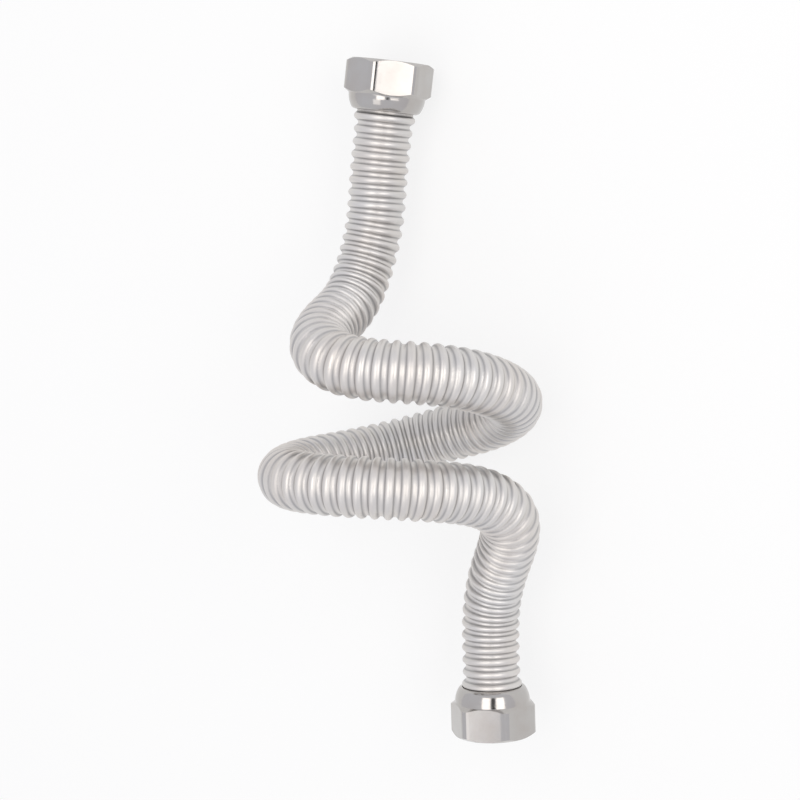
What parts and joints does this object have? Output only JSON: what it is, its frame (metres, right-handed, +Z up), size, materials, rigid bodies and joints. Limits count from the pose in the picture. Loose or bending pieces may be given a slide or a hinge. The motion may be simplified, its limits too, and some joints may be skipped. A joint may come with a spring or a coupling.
{
  "type": "flexible pipe connector",
  "caption": "Corrugated metal tube bent back and forth into open coils, with a union nut that swivels at each end, for joining water pipes that don't line up.",
  "frame": {"origin": "centre of the bounding box at its lowest height, on the surface that the part lies on", "axes": "+Y runs the long way, from the lower nut to the upper nut; +Z points up as the part lies at rest; +X runs across the coils"},
  "size_m": [0.111, 0.285, 0.1011],
  "materials": {
    "satin_steel": "satin, formed tube",
    "bright_nickel": "bright, fine brushed flats",
    "seal_fibre": "matt"
  },
  "bodies": {
    "tube": {"corrugated_tube": "satin_steel"},
    "upper_nut": {"upper_nut": "bright_nickel", "upper_sealing_ring": "seal_fibre"},
    "lower_nut": {"lower_nut": "bright_nickel", "lower_sealing_ring": "seal_fibre"}
  },
  "joints": [
    {"name": "upper_nut_swivel", "type": "hinge", "parent": "tube", "child": "upper_nut", "pos_m": [-0.0124, 0.14027, 0.01834], "axis": [0.1284, 0.9902, -0.0539], "continuous": true},
    {"name": "lower_nut_swivel", "type": "hinge", "parent": "tube", "child": "lower_nut", "pos_m": [0.03176, -0.1404, 0.03417], "axis": [0.0517, -0.9914, 0.1201], "continuous": true}
  ]
}
